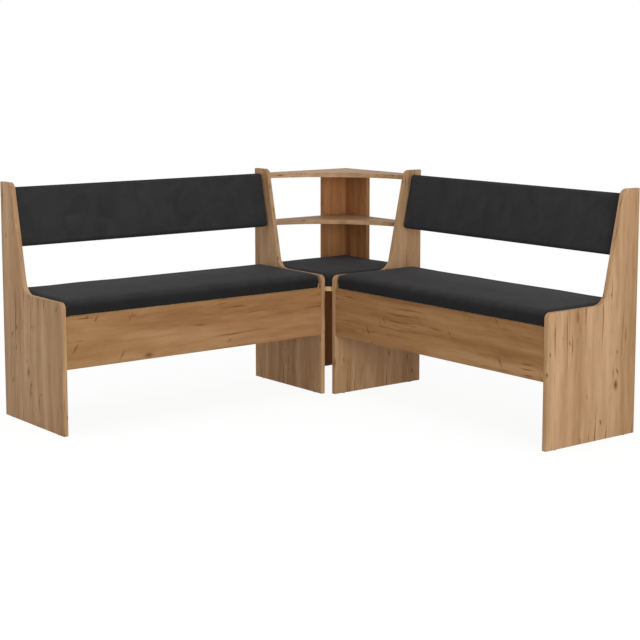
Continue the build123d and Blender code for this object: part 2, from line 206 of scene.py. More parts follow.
@dataclass(frozen=True)
class OakDecor:
    """Melamine-faced chipboard with a printed oak decor, pressed with shallow pores.

    The eye sees a satin, warm brown print of straight staves with tapered dark cracks and small knots.
    """

    grain: GrainAxis
    tone: OakTone = OakTone.PANEL
    stave: Vector = Vector((1100, 42, 42)) * MM
    streak: Vector = Vector((160, 18, 18)) * MM
    fibre: Vector = Vector((60, 2.5, 2.5)) * MM
    patch: Vector = Vector((240, 90, 90)) * MM
    crack: Mark = Mark(Vector((430, 9, 9)) * MM, 0.28)
    check: Mark = Mark(Vector((110, 7, 7)) * MM, 0.08)
    stroke: Mark = Mark(Vector((60, 12, 12)) * MM, 0.016, (0.0, radians(20), radians(20)))
    knot: Mark = Mark(Vector((60, 30, 30)) * MM, 0.008)
    wander: float = 24 * MM  # how far the grain strays from straight
    wander_length: float = 200 * MM
    streak_share: float = 0.4
    tone_stops: tuple[float, ...] = (0.34, 0.5, 0.66)
    gathering: float = 0.8  # how strongly the patches gather the marks
    marked_level: float = 1.4  # chance and patch together, at which the rarest cells are marked
    full_part: float = 0.4  # of the marks, drawn at full strength
    taper_power: float = 1.6
    knot_colour: str = "#744C29"
    crack_colour: str = "#6F4826"
    pore_depth: float = 0.15 * MM

    def build(self) -> Material:
        """Make the material for boards of one grain direction.

        Returns:
            The material.
        """
        name = f"oak_decor_{self.tone.name}_{self.grain.name}".lower()
        material, tree, surface, place = new_material(name)
        laid = add_node(tree, "Mapping", {"Vector": place, "Rotation": self.grain.value})
        bends = {"Vector": laid, "Scale": 1 / self.wander_length, "Detail": 2.0}
        stray = add_node(tree, "TexNoise", bends, "Color")
        strayed = {0: stray, 1: (0.0, self.wander, self.wander), 2: laid}
        grain = add_node(tree, "VectorMath", strayed, operation="MULTIPLY_ADD")
        patches, staves, streaks, fibres = (
            add_node(
                tree,
                "TexNoise",
                {"Vector": scaled(grain, size), "Scale": 1.0, "Detail": detail, "Roughness": roughness},
            )
            for size, detail, roughness in (
                (self.patch, 1.0, 0.5),
                (self.stave, 1.0, 0.5),
                (self.streak, 4.0, 0.6),
                (self.fibre, 2.0, 0.5),
            )
        )
        figure = add_node(tree, "Mix", {0: self.streak_share, 2: staves, 3: streaks})
        tones = tuple(zip(self.tone_stops, self.tone.value))
        tone = add_node(tree, "ValToRGB", {"Fac": figure}, ramp=tones)
        fibre_level = add_node(tree, "MapRange", {"Value": fibres, "To Min": 0.88, "To Max": 1.12})
        colour = add_node(tree, "VectorMath", {0: tone, 3: fibre_level}, operation="SCALE")
        lines, spots = (
            add_node(
                tree,
                "Math",
                {0: self._marks(grain, patches, first), 1: self._marks(grain, patches, second)},
                operation="MAXIMUM",
            )
            for first, second in ((self.crack, self.check), (self.stroke, self.knot))
        )
        for mask, dark in ((spots, self.knot_colour), (lines, self.crack_colour)):
            colour = add_node(tree, "Mix", {0: mask, 6: colour, 7: linear(dark)}, out=2, data_type="RGBA")
        relief = add_node(tree, "Math", {0: fibres, 1: lines}, operation="SUBTRACT")
        pores = add_node(tree, "Bump", {"Height": relief, "Strength": 0.25, "Distance": self.pore_depth})
        gloss = add_node(tree, "MapRange", {"Value": fibres, "To Min": 0.42, "To Max": 0.58})
        feed(surface, {"Base Color": colour, "Roughness": gloss, "Normal": pores})
        feed(surface, {"Specular IOR Level": 0.08})
        return material

    def _marks(self, grain: NodeSocket, patches: NodeSocket, mark: Mark) -> NodeSocket:
        """Draw one kind of mark, gathered in patches.

        Args:
            grain: Coordinates along the grain.
            patches: Level of the patches.
            mark: The kind of mark.

        Returns:
            Mask of the marks.
        """
        tree = grain.id_data
        cell = scaled(grain, mark.cell, mark.turn)
        cells = add_node(tree, "TexVoronoi", {"Vector": cell, "Scale": 1.0}).node.outputs
        taper = add_node(tree, "MapRange", {"Value": cells["Distance"], "From Min": 0.5, "From Max": 0.1})
        spindle = add_node(tree, "Math", {0: taper, 1: self.taper_power}, operation="POWER")
        chance = add_node(tree, "SeparateXYZ", {0: cells["Color"]})
        chances = {0: patches, 1: self.gathering, 2: chance}
        gathered = add_node(tree, "Math", chances, operation="MULTIPLY_ADD")
        faint, full = (self.marked_level - part * mark.share for part in (1.0, self.full_part))
        strength = add_node(tree, "MapRange", {"Value": gathered, "From Min": faint, "From Max": full})
        return add_node(tree, "Math", {0: spindle, 1: strength}, operation="MULTIPLY")


@dataclass(frozen=True)
class CoverCloth:
    """Microfibre upholstery cloth with a short brushed nap.

    The eye sees a soft anthracite surface, mottled where the nap lies differently, with a faint sheen.
    The sides are painted darker than the faces: painted shade, as if the light falls only from above.
    """

    nap_mark: float = 70 * MM
    fibre: float = 1.6 * MM  # fibres are finer, and drawn coarser so that they show
    fibre_depth: float = 0.5 * MM
    lit_face_share: ClassVar[str] = "lit_face_share"  # attribute of the pads that places the painted shade: one where they face outwards, falling to none on their sides

    def build(self) -> Material:
        """Make the material.

        Returns:
            The material.
        """
        material, tree, surface, place = new_material("anthracite_microfibre_cloth")
        mottle = {"Scale": 1 / self.nap_mark, "Detail": 3.0, "Roughness": 0.6, "Distortion": 0.6}
        marks = add_node(tree, "TexNoise", {"Vector": place, **mottle})
        # Painted shade: two copies of the mottled cloth, darker for the pad's sides and lighter for its
        # faces, as if lit only from above.
        sides, lit_tops = (
            add_node(tree, "ValToRGB", {"Fac": marks}, ramp=((0.3, dark), (0.7, light)))
            for dark, light in (("#1D1C1D", "#222122"), ("#2C2B2C", "#343334"))
        )
        # The painted shade turns in as the pad turns from facing outwards; a piece without the attribute
        # reads none and is drawn all in the darker colours.
        lit_face = add_node(tree, "Attribute", out="Fac", attribute_name=self.lit_face_share)
        turn = add_node(tree, "MapRange", {"Value": lit_face, "From Min": 0.05, "From Max": 0.65})
        tone = add_node(tree, "Mix", {0: turn, 6: sides, 7: lit_tops}, out=2, data_type="RGBA")
        fibres = add_node(tree, "TexNoise", {"Vector": place, "Scale": 1 / self.fibre, "Detail": 2.0})
        nap = add_node(tree, "Bump", {"Height": fibres, "Strength": 0.35, "Distance": self.fibre_depth})
        feed(surface, {"Base Color": tone, "Normal": nap, "Roughness": 0.85, "Specular IOR Level": 0.1})
        feed(surface, {"Sheen Weight": 0.03, "Sheen Roughness": 0.45})
        return material


@dataclass(frozen=True)
class Chipboard:
    """Raw pressed chipboard.

    The eye sees pale and dark wood chips pressed flat, dull all over.
    """

    chip: float = 3 * MM
    chip_depth: float = 0.2 * MM

    def build(self) -> Material:
        """Make the material.

        Returns:
            The material.
        """
        material, tree, surface, place = new_material("raw_chipboard")
        chips = add_node(tree, "TexVoronoi", {"Vector": place, "Scale": 1 / self.chip}, "Color")
        browns = ((0.1, "#A58453"), (0.5, "#BD9C6C"), (0.9, "#CBAF82"))
        tone = add_node(tree, "ValToRGB", {"Fac": chips}, ramp=browns)
        press = add_node(tree, "Bump", {"Height": chips, "Strength": 0.3, "Distance": self.chip_depth})
        feed(surface, {"Base Color": tone, "Normal": press, "Roughness": 0.85})
        return material


@dataclass(frozen=True)
class Fibreboard:
    """Hardboard, pressed smooth from brown wood fibre.

    The eye sees a close brown felt of fibres with a slight polish.
    """

    tuft: float = 9 * MM

    def build(self) -> Material:
        """Make the material.

        Returns:
            The material.
        """
        material, tree, surface, place = new_material("hardboard")
        tufts = {"Vector": place, "Scale": 1 / self.tuft, "Detail": 6.0, "Roughness": 0.7}
        felt = add_node(tree, "TexNoise", tufts)
        tone = add_node(tree, "ValToRGB", {"Fac": felt}, ramp=((0.3, "#7A5431"), (0.7, "#9C7247")))
        feed(surface, {"Base Color": tone, "Roughness": 0.6})
        return material


@dataclass(frozen=True)
class SpruceBatten:
    """Planed spruce.

    The eye sees pale yellow wood with thin darker year rings along it.
    """

    grain: GrainAxis
    ring: Vector = Vector((500, 5, 5)) * MM

    def build(self) -> Material:
        """Make the material for battens of one direction.

        Returns:
            The material.
        """
        material, tree, surface, place = new_material(f"planed_spruce_{self.grain.name}")
        rings = scaled(place, self.ring, self.grain.value)
        lines = add_node(tree, "TexNoise", {"Vector": rings, "Scale": 1.0, "Detail": 3.0})
        tone = add_node(tree, "ValToRGB", {"Fac": lines}, ramp=((0.35, "#C29A62"), (0.6, "#DEC292")))
        feed(surface, {"Base Color": tone, "Roughness": 0.65})
        return material


@dataclass(frozen=True)
class Metal:
    """Zinc on steel, or cast zinc.

    The eye sees a grey metal whose gloss is broken by a fine spangle.
    """

    name: str
    colour: str
    smooth: float
    rough: float
    spangle: float = 4 * MM

    def build(self) -> Material:
        """Make the material.

        Returns:
            The material.
        """
        material, tree, surface, place = new_material(self.name)
        crystals = add_node(tree, "TexNoise", {"Vector": place, "Scale": 1 / self.spangle, "Detail": 3.0})
        gloss = add_node(tree, "MapRange", {"Value": crystals, "To Min": self.smooth, "To Max": self.rough})
        feed(surface, {"Base Color": linear(self.colour), "Metallic": 1.0, "Roughness": gloss})
        return material


@dataclass(frozen=True)
class Nylon:
    """Moulded brown nylon.

    The eye sees a plain plastic with a fine eroded texture.
    """

    colour: str = "#5A4430"
    grit: float = 0.8 * MM
    grit_depth: float = 0.1 * MM

    def build(self) -> Material:
        """Make the material.

        Returns:
            The material.
        """
        material, tree, surface, place = new_material("moulded_nylon")
        skin = add_node(tree, "TexNoise", {"Vector": place, "Scale": 1 / self.grit, "Detail": 2.0})
        bump = add_node(tree, "Bump", {"Height": skin, "Strength": 0.3, "Distance": self.grit_depth})
        gloss = add_node(tree, "MapRange", {"Value": skin, "To Min": 0.4, "To Max": 0.55})
        feed(surface, {"Base Color": linear(self.colour), "Roughness": gloss, "Normal": bump})
        return material


@dataclass
class Finishes:
    """Every finish of the bench, made once."""

    def __post_init__(self) -> None:
        """Make the materials."""
        leaning = replace(OakDecor.stroke, turn=(0.0, radians(58), 0.0))
        # Painted shade: the aprons and chest backs take the darker, warmer copy of the oak.
        shaded_rails = {side: OakDecor(side.along, OakTone.SHADED_RAIL, stroke=leaning) for side in Side}
        self.board = {axis: OakDecor(axis).build() for axis in GrainAxis}
        self.apron = {side: decor.build() for side, decor in shaded_rails.items()}
        # Painted shade: the corner post takes the darker, warmer copy of the oak.
        self.post = OakDecor(GrainAxis.Z, OakTone.POST).build()
        self.batten = {axis: SpruceBatten(axis).build() for axis in (GrainAxis.X, GrainAxis.Y)}
        self.cloth = CoverCloth().build()
        self.chipboard = Chipboard().build()
        self.hardboard = Fibreboard().build()
        self.plated = Metal("zinc_plated_steel", "#C3C3C0", 0.28, 0.45).build()
        self.cast = Metal("die_cast_zinc", "#A9A9A6", 0.42, 0.6).build()
        self.nylon = Nylon().build()


def dress(node: str, material: Material) -> None:
    """Give a CAD node its finish.

    Args:
        node: Name of the node.
        material: Its finish.
    """
    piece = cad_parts[node]
    if not piece.material_slots:
        piece.data.materials.append(material)
    for slot in piece.material_slots:
        slot.material = material
    log.info("dressed %s in %s", node, material.name)


def finished(shape: BMesh, name: str) -> Mesh:
    """Turn a shape into a mesh.

    Args:
        shape: The shape, which ends with this.
        name: Name of the mesh.

    Returns:
        The mesh.
    """
    mesh = bpy.data.meshes.new(name)
    shape.to_mesh(mesh)
    shape.free()
    return mesh


def in_scene(name: str, data: ID) -> Object:
    """Put a mesh, a lamp or a camera into the scene.

    Args:
        name: Name of the object.
        data: What it shows.

    Returns:
        The object.
    """
    item = bpy.data.objects.new(name, data)
    bpy.context.scene.collection.objects.link(item)
    return item


def pull_up(shape: BMesh, faces: Sequence[BMFace], height: float) -> None:
    """Extrude faces along Z.

    Args:
        shape: The shape.
        faces: Faces of one region.
        height: How far they go up.
    """
    pulled = bmesh.ops.extrude_face_region(shape, geom=faces)["geom"]
    corners = [v for v in pulled if isinstance(v, BMVert)]
    bmesh.ops.translate(shape, verts=corners, vec=(0.0, 0.0, height))


def faces_at(vertices: Sequence[BMVert]) -> list[BMFace]:
    """Faces that meet at any of some vertices, in order."""
    return list(dict.fromkeys(face for vertex in vertices for face in vertex.link_faces))


@dataclass(frozen=True)
class Edge:
    """Straight edge of a flat piece that lies to the left of it."""

    start: Vector
    along: Vector
    length: float
    cloth: float = 0.0  # thickness of the cloth folded over it

    @property
    def inward(self) -> Vector:
        """Direction from the edge into the piece."""
        return Vector((-self.along.y, self.along.x, 0.0))

    @property
    def turn(self) -> float:
        """Turn about Z from the X axis to the edge."""
        return self.along.to_2d().angle_signed(Vector((1.0, 0.0)))


@dataclass
class Pad:
    """Foam pad under a tight cover, modelled on its own plane: X and Y along it, Z out of it."""

    name: str
    outline: Sequence[tuple[float, float]]
    depth: float
    edge_round: float
    crown: float
    draw_in: float
    board: float = 0.0  # thickness of the board that it is wrapped round
    front_roll: float = 0.0  # how far the upper edge of the first side is rolled down
    mesh_size: float = 8 * MM
    pinned: float = 5 * MM
    pull_reach: float = 70 * MM
    roll_reach: float = 60 * MM
    side_swell: float = 1.2 * MM
    pressure: float = 4.0
    frames: int = 20
    round_steps: int = 5
    flat_share: float = 0.4  # of the mesh size, up to which a vertex belongs to the underside

    def build(self) -> Mesh:
        """Model the pad, blow its cover up and give it its hidden underside.

        Returns:
            The mesh, with the attribute that places the cloth's painted shade.
        """
        block = self._block()
        even = self._evaluated(block)
        block.modifiers.clear()
        block.data = even
        self._draw_sides_in(even)
        self._fill(block)
        self._line(block.data)
        mesh = block.data
        bpy.data.objects.remove(block)
        mesh.shade_smooth()
        # Painted shade: the attribute is one where the pad faces outwards and none on its sides, which the
        # cloth draws darker.
        lit_face = mesh.attributes.new(CoverCloth.lit_face_share, "FLOAT", "POINT")
        lit_face.data.foreach_set("value", [max(0.0, vertex.normal.z) for vertex in mesh.vertices])
        return mesh

    def _block(self) -> Object:
        """Model a block with a rounded upper edge, to be meshed evenly.

        Returns:
            The block.
        """
        shape = bmesh.new()
        base = shape.faces.new([shape.verts.new((x, y, 0.0)) for x, y in self.outline])
        pull_up(shape, [base], self.depth)
        bmesh.ops.recalc_face_normals(shape, faces=shape.faces)
        bmesh.ops.bevel(
            shape,
            geom=[e for e in shape.edges if all(v.co.z > 0 for v in e.verts)],
            offset=self.edge_round,
            segments=self.round_steps,
            profile=0.5,
            affect="EDGES",
            material=-1,
        )
        block = in_scene(f"{self.name}_block", finished(shape, self.name))
        even = block.modifiers.new("even_mesh", "REMESH")
        even.mode = "VOXEL"
        even.voxel_size = self.mesh_size
        return block

    def _evaluated(self, block: Object) -> Mesh:
        """Mesh of an object with its modifiers applied."""
        graph = bpy.context.evaluated_depsgraph_get()
        return bpy.data.meshes.new_from_object(block.evaluated_get(graph))

    def _sides(self) -> list[Edge]:
        """Find the sides of the outline.

        Returns:
            The sides, in order.
        """
        corners = [Vector((x, y, 0.0)) for x, y in self.outline]
        runs = [(start, end - start) for start, end in zip(corners, corners[1:] + corners[:1])]
        return [Edge(start, run.normalized(), run.length) for start, run in runs]

    def _draw_sides_in(self, mesh: Mesh) -> None:
        """Pull the sides in between the corners, and roll the front down, above the board.

        Args:
            mesh: The block's mesh.
        """
        sides = self._sides()
        longest = max(side.length for side in sides)
        for vertex in mesh.vertices:
            pull = Vector()
            height = max(0.0, (vertex.co.z - self.board) / (self.depth - self.board))
            for side in sides:
                offset = vertex.co - side.start
                share = min(max(offset.dot(side.along) / side.length, 0.0), 1.0)
                near = max(0.0, 1.0 - offset.dot(side.inward) / self.pull_reach)
                sag = self.draw_in * side.length / longest * 4 * share * (1 - share)
                pull += side.inward * (sag * near**2 * height)
            pull.z -= self.front_roll * height * max(0.0, 1.0 - vertex.co.y / self.roll_reach) ** 2
            vertex.co += pull

    def _fill(self, block: Object) -> None:
        """Swell the cover over its foam, held along the edge of its board.

        Args:
            block: The pad, which gets the swollen mesh.
        """
        rest = [v.co.copy() for v in block.data.vertices]
        held = block.vertex_groups.new(name="held")
        held.add([i for i, point in enumerate(rest) if point.z < self.board + self.pinned], 1.0, "REPLACE")
        cover = block.modifiers.new("cover", "CLOTH")
        cover.settings.vertex_group_mass = held.name
        cover.settings.use_pressure = True
        cover.settings.uniform_pressure_force = self.pressure
        cover.settings.effector_weights.gravity = 0.0
        cover.collision_settings.use_collision = False
        for number in range(1, self.frames + 1):
            bpy.context.scene.frame_set(number)
        settled = self._evaluated(block)
        moves = [vertex.co - start for vertex, start in zip(settled.vertices, rest)]
        swell = self.side_swell / max(move.xy.length for move in moves)
        lift = self.crown / max(move.z for move in moves)
        for vertex, start, move in zip(settled.vertices, rest, moves):
            vertex.co = start + Vector((swell * move.x, swell * move.y, lift * max(move.z, 0.0)))
        block.modifiers.clear()
        block.data = settled
        bpy.context.scene.frame_set(1)

    def _line(self, mesh: Mesh) -> None:
        """Flatten the underside, and draw its middle up into the board.

        Args:
            mesh: The pad's mesh.
        """
        sides = self._sides()
        for vertex in mesh.vertices:
            if vertex.co.z > self.flat_share * self.mesh_size:
                continue
            vertex.co.z = max(vertex.co.z, 0.0)
            inset = min((vertex.co - side.start).dot(side.inward) for side in sides)
            if inset > COVER_WRAP:
                vertex.co.z = self.board / 2


def rectangle(width: float, height: float) -> list[tuple[float, float]]:
    """Corners of a rectangle that starts at the origin, anticlockwise."""
    return [(0.0, 0.0), (width, 0.0), (width, height), (0.0, height)]


def show(name: str, mesh: Mesh, body: str, material: Material) -> Object:
    """Put a finished mesh into the scene as a piece of the bench.

    Args:
        name: Name of the piece.
        mesh: Its mesh, in place.
        body: Body that carries it.
        material: Its finish.

    Returns:
        The piece.
    """
    mesh.materials.clear()
    mesh.materials.append(material)
    piece = in_scene(name, mesh)
    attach(piece, body)
    log.info("built %s on %s", name, body)
    return piece


def show_pad(mesh: Mesh, body: str, node: str, material: Material) -> None:
    """Put a finished pad in place of its CAD solid.

    Args:
        mesh: Its mesh, in place.
        body: Body that carries it.
        node: CAD node that it replaces.
        material: Its cloth.
    """
    piece = show(f"{node}_cover", mesh, body, material)
    smooth = piece.modifiers.new("smooth", "SUBSURF")
    smooth.levels = smooth.render_levels = 1
    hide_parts(node)


def placed(mesh: Mesh, place: Matrix) -> Mesh:
    """Copy a mesh to its place, with its faces still outwards in a mirrored one.

    Args:
        mesh: The mesh on its own plane.
        place: Where it goes.

    Returns:
        The copy.
    """
    copy = mesh.copy()
    copy.transform(place)
    if place.determinant() < 0:
        copy.flip_normals()
    return copy


def uneven(mesh: Mesh, height: float, seed: float) -> Mesh:
    """Copy a pad and give its upper side soft hills and hollows of its own.

    Args:
        mesh: The pad on its own plane.
        height: Height of the hills.
        seed: Place in the pattern of hills.

    Returns:
        The copy.
    """
    upper_side, hills_per_metre = 20 * MM, 7
    copy = mesh.copy()
    for vertex in copy.vertices:
        if vertex.co.z > upper_side:
            spot = Vector((vertex.co.x * hills_per_metre, vertex.co.y * hills_per_metre, seed))
            vertex.co.z += height * noise.noise(spot)
    return copy


def repeated(mesh: Mesh, places: Sequence[Matrix]) -> Mesh:
    """Join copies of a mesh.

    Args:
        mesh: The mesh to repeat.
        places: Where its copies go.

    Returns:
        One mesh with all of them.
    """
    shape = bmesh.new()
    for place in places:
        shape.from_mesh(placed(mesh, place))
    return finished(shape, mesh.name)


def turned_over(place: Matrix, width: float) -> Matrix:
    """Frame on the other side of a board's face, from the frame on the face and the board's width."""
    return place @ Matrix.Translation((width, 0.0, 0.0)) @ Matrix.Rotation(pi, 4, "Y")


def facing(point: Sequence[float], direction: Sequence[float]) -> Matrix:
    """Frame at a point with its Z axis in a direction."""
    return Matrix.Translation(point) @ Vector(direction).to_track_quat("Z", "Y").to_matrix().to_4x4()


@dataclass(frozen=True)
class CrossHead:
    """Head of a screw or a cam, with a cross recess: a pan, a countersunk cone or a flush disc."""

    radius: float
    foot: float
    height: float
    dome: float  # rise from the rim to the mouth of the recess
    arm: float
    slot: float
    sink: float
    segments: int = 28

    def build(self) -> Mesh:
        """Model the head, standing on its origin along Z.

        Returns:
            The mesh.
        """
        shape = bmesh.new()
        bmesh.ops.create_cone(
            shape,
            cap_ends=True,
            segments=self.segments,
            radius1=self.foot,
            radius2=self.radius,
            depth=self.height,
            matrix=Matrix.Translation((0.0, 0.0, self.height / 2)),
        )
        upper = max(shape.faces, key=lambda face: face.calc_center_median().z)
        bmesh.ops.delete(shape, geom=[upper], context="FACES_ONLY")
        self._sink_cross(shape)
        bmesh.ops.triangle_fill(shape, edges=[e for e in shape.edges if e.is_boundary], use_beauty=True)
        bmesh.ops.recalc_face_normals(shape, faces=shape.faces)
        return finished(shape, "cross_head")

    def _sink_cross(self, shape: BMesh) -> None:
        """Add the recess, open at its mouth: the middle cross of nine squares, sunk.

        Args:
            shape: The head, without its upper face.
        """
        mouth = Matrix.Translation((0.0, 0.0, self.height + self.dome))
        grid = bmesh.ops.create_grid(shape, x_segments=3, y_segments=3, size=self.arm / 2, matrix=mouth)
        corners = [v for v in grid["verts"] if len(v.link_faces) == 1]
        outline = [v for v in grid["verts"] if len(v.link_faces) > 1]
        # The inner lines of the grid lie a sixth of the arm from the middle, and move to the slot's sides.
        for vertex in outline:
            for axis in (0, 1):
                if abs(vertex.co[axis]) < self.arm / 4:
                    vertex.co[axis] *= 3 * self.slot / self.arm
        bmesh.ops.delete(shape, geom=corners, context="VERTS")
        cross = faces_at(outline)
        pull_up(shape, cross, -self.sink)
        bmesh.ops.delete(shape, geom=[f for f in cross if f.is_valid], context="FACES")


PAN_HEAD = CrossHead(3.8 * MM, 3.8 * MM, 0.6 * MM, 1.2 * MM, arm=4.4 * MM, slot=0.9 * MM, sink=1.2 * MM)
SUNK_HEAD = CrossHead(3.2 * MM, 1.7 * MM, 1.5 * MM, 0.0, arm=3.8 * MM, slot=0.8 * MM, sink=0.9 * MM)
CAM_DISC = CrossHead(7.5 * MM, 7.5 * MM, 12.5 * MM, 0.0, arm=8.0 * MM, slot=1.8 * MM, sink=4.0 * MM)


@dataclass
class StapledMargin:
    """Cover folded over the back of a board and stapled to it, modelled on that face with Z out of it."""

    width: float
    height: float
    free: Sequence[tuple[float, float]] = ()  # stretches of the upper edge left free for hinges
    margin: float = 26 * MM
    rim: float = 2 * MM
    cloth: float = 0.8 * MM
    end_cloth: float = 1.2 * MM  # at the two ends, where it is folded over the long margins
    waviness: float = 2.5 * MM
    waves_per_metre: float = 40.0
    step: float = 12 * MM
    staple: Vector = Vector((11, 1.2, 0.7)) * MM
    staple_pitch: float = 42 * MM
    staple_inset: float = 14.3 * MM
    staple_skew: float = 0.5
    skews_per_metre: float = 90.0

    def _edges(self) -> list[Edge]:
        """Find the edges that the cloth is folded over.

        Returns:
            The edges, anticlockwise.
        """
        ends = [0.0, *[place for gap in self.free for place in gap], self.width]
        upper = [
            Edge(Vector((end, self.height, 0)), Vector((-1, 0, 0)), end - start, self.cloth)
            for start, end in zip(ends[::2], ends[1::2])
        ]
        lower = Edge(Vector((0, 0, 0)), Vector((1, 0, 0)), self.width, self.cloth)
        right = Edge(Vector((self.width, 0, 0)), Vector((0, 1, 0)), self.height, self.end_cloth)
        left = Edge(Vector((0, self.height, 0)), Vector((0, -1, 0)), self.height, self.end_cloth)
        return [lower, right, *upper, left]

    def build_cloth(self) -> Mesh:
        """Model the strips of cloth with their unevenly cut edge.

        Returns:
            One mesh with all the strips.
        """
        shape = bmesh.new()
        size, middle = self.margin + self.rim, (self.margin - self.rim) / 2
        for edge in self._edges():
            point = edge.start + edge.along * (edge.length / 2) + edge.inward * middle
            place = Matrix.Translation(point + Vector((0.0, 0.0, edge.cloth)))
            place @= Matrix.Rotation(edge.turn, 4, "Z") @ Matrix.Diagonal((edge.length, size, 1.0, 1.0))
            steps = max(1, round(edge.length / self.step))
            grid = bmesh.ops.create_grid(shape, x_segments=steps, y_segments=1, size=0.5, matrix=place)
            strip = grid["verts"]
            for vertex in strip:
                if (vertex.co - edge.start).dot(edge.inward) > 0:
                    wave = self.waviness * noise.noise(vertex.co * self.waves_per_metre)
                    vertex.co += edge.inward * wave
            pull_up(shape, faces_at(strip), -edge.cloth)
        bmesh.ops.recalc_face_normals(shape, faces=shape.faces)
        return finished(shape, "folded_cover")

    def build_staples(self) -> Mesh:
        """Model the rows of staples.

        Returns:
            One mesh with all the staples.
        """
        shape = bmesh.new()
        size = Matrix.Diagonal((*self.staple, 1.0))
        for edge in self._edges():
            row = edge.length - 2 * self.margin
            count = max(1, round(row / self.staple_pitch))
            for index in range(count):
                reach = self.margin + row * (index + 0.5) / count
                point = edge.start + edge.along * reach + edge.inward * self.staple_inset
                turn = edge.turn + self.staple_skew * noise.noise(point * self.skews_per_metre)
                place = Matrix.Translation(point + Vector((0.0, 0.0, edge.cloth)))
                bmesh.ops.create_cube(shape, size=1.0, matrix=place @ Matrix.Rotation(turn, 4, "Z") @ size)
        return finished(shape, "staples")


@dataclass
class Wings:
    """The two equal wings: end panels, chests, lids and backrests."""

    finishes: Finishes
    seat_round: float = 15 * MM
    seat_crown: float = 3 * MM
    seat_roll: float = 5 * MM
    seat_draw_in: float = 2.5 * MM
    seat_hills: float = 1.2 * MM
    backrest_depth: float = 28.5 * MM
    backrest_round: float = 9 * MM
    backrest_crown: float = 3 * MM
    backrest_draw_in: float = 2 * MM
    backrest_hills: float = 0.8 * MM
    backrest_mesh: float = 6 * MM
    board: float = 16 * MM
    inset: float = 1.2 * MM
    hinge_length: float = 64 * MM
    hinge_screw_spread: float = 40 * MM
    hinge_cut_away: float = 6 * MM  # cloth cut back beside the hinges
    bracket_steel: float = 2 * MM
    bracket_edge: float = 46 * MM  # from the long edges of the backrest board
    bracket_reach: float = 6 * MM  # from the ends of the backrest board to the end panels
    bracket_screw: float = 12 * MM
    bearer_screws: tuple[float, ...] = (0.06, 0.35, 0.65, 0.94)  # shares of the bearer's length
    cleat_screws: tuple[float, ...] = (0.12, 0.5, 0.88)  # shares of the cleat's length
    seat_seeds: ClassVar[Mapping[Side, float]] = {Side.LEFT: 51.0, Side.RIGHT: 54.0}
    backrest_seeds: ClassVar[Mapping[Side, float]] = {Side.LEFT: 85.0, Side.RIGHT: 90.0}

    def build(self) -> None:
        """Build the soft pieces and fixings and dress the boards and fittings of both wings."""
        self._seats()
        self._backrests()
        self._lid_undersides()
        self._backrest_backs()
        self._chest_fixings()
        for side in Side:
            self._dress(side)

    def _fold(self, kind: str, margin: StapledMargin, place: Matrix, on_lid: bool) -> None:
        """Fold the cover over the back of a board of both wings, and staple it.

        Args:
            kind: What the board is.
            margin: The folded cover.
            place: Its frame on the left wing.
            on_lid: Whether the lid carries it.
        """
        cloth, staples = margin.build_cloth(), margin.build_staples()
        for side in Side:
            body = f"{side.value}_lid" if on_lid else "frame"
            there = side.place @ place
            name = f"{side.value}_{kind}"
            finish = self.finishes
            # The folded cover has no attribute for the cloth's painted shade, so it is drawn all in the
            # darker painted-shade colours.
            show(f"{name}_folded_cover", placed(cloth, there), body, finish.cloth)
            show(f"{name}_staples", placed(staples, there), body, finish.plated)

    def _fix(
        self, kind: str, head: CrossHead, places: Sequence[Matrix], on_lid: bool = False, replaced: str = ""
    ) -> None:
        """Set the same screw or cam heads into both wings.

        Args:
            kind: What they are.
            head: The head.
            places: Their frames on the left wing.
            on_lid: Whether the lid carries them.
            replaced: The plain CAD ones that they stand for, if there are any.
        """
        heads = repeated(head.build(), places)
        slot, finish = "hinge_steel", self.finishes.plated
        if head is CAM_DISC:
            slot, finish = "zinc_fitting", self.finishes.cast
        for side in Side:
            body = f"{side.value}_lid" if on_lid else "frame"
            piece = show(f"{side.value}_{kind}", placed(heads, side.place), body, finish)
            if replaced:
                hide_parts(f"{side.value}_{replaced}")

    def _seats(self) -> None:
        """Seat cushions on the lids."""
        low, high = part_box("left_seat_cushion")
        size = high - low
        outline = rectangle(size.x - 2 * self.inset, size.y - 2 * self.inset)
        form = (size.z, self.seat_round, self.seat_crown, self.seat_draw_in)
        pad = Pad("seat_cushion", outline, *form, self.board, self.seat_roll).build()
        start = Matrix.Translation(low + Vector((self.inset, self.inset, 0.0)))
        for side, seed in self.seat_seeds.items():
            mesh = placed(uneven(pad, self.seat_hills, seed), side.place @ start)
            show_pad(mesh, f"{side.value}_lid", f"{side.value}_seat_cushion", self.finishes.cloth)

    def _tilted_board(self) -> tuple[Matrix, float, float]:
        """Find the left backrest board in its box.

        Returns:
            Frame on its rear face with Z to the front, its width and its height.
        """
        low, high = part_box("left_backrest_board")
        size = high - low
        spread = cos(BACK_ANGLE) ** 2 - sin(BACK_ANGLE) ** 2
        height = (size.z * cos(BACK_ANGLE) - size.y * sin(BACK_ANGLE)) / spread
        corner = Vector((low.x, high.y - height * sin(BACK_ANGLE), low.z))
        return Matrix.Translation(corner) @ Matrix.Rotation(pi / 2 - BACK_ANGLE, 4, "X"), size.x, height

    def _backrests(self) -> None:
        """Backrest pads on their tilted boards."""
        tilted, width, height = self._tilted_board()
        rim = COVER_WRAP - self.inset
        outline = rectangle(width + 2 * rim, height + 2 * rim)
        form = (self.backrest_depth, self.backrest_round, self.backrest_crown, self.backrest_draw_in)
        pad = Pad("backrest_pad", outline, *form, self.board, mesh_size=self.backrest_mesh).build()
        start = tilted @ Matrix.Translation((-rim, -rim, 0.0))
        for side, seed in self.backrest_seeds.items():
            mesh = placed(uneven(pad, self.backrest_hills, seed), side.place @ start)
            show_pad(mesh, "frame", f"{side.value}_backrest_pad", self.finishes.cloth)

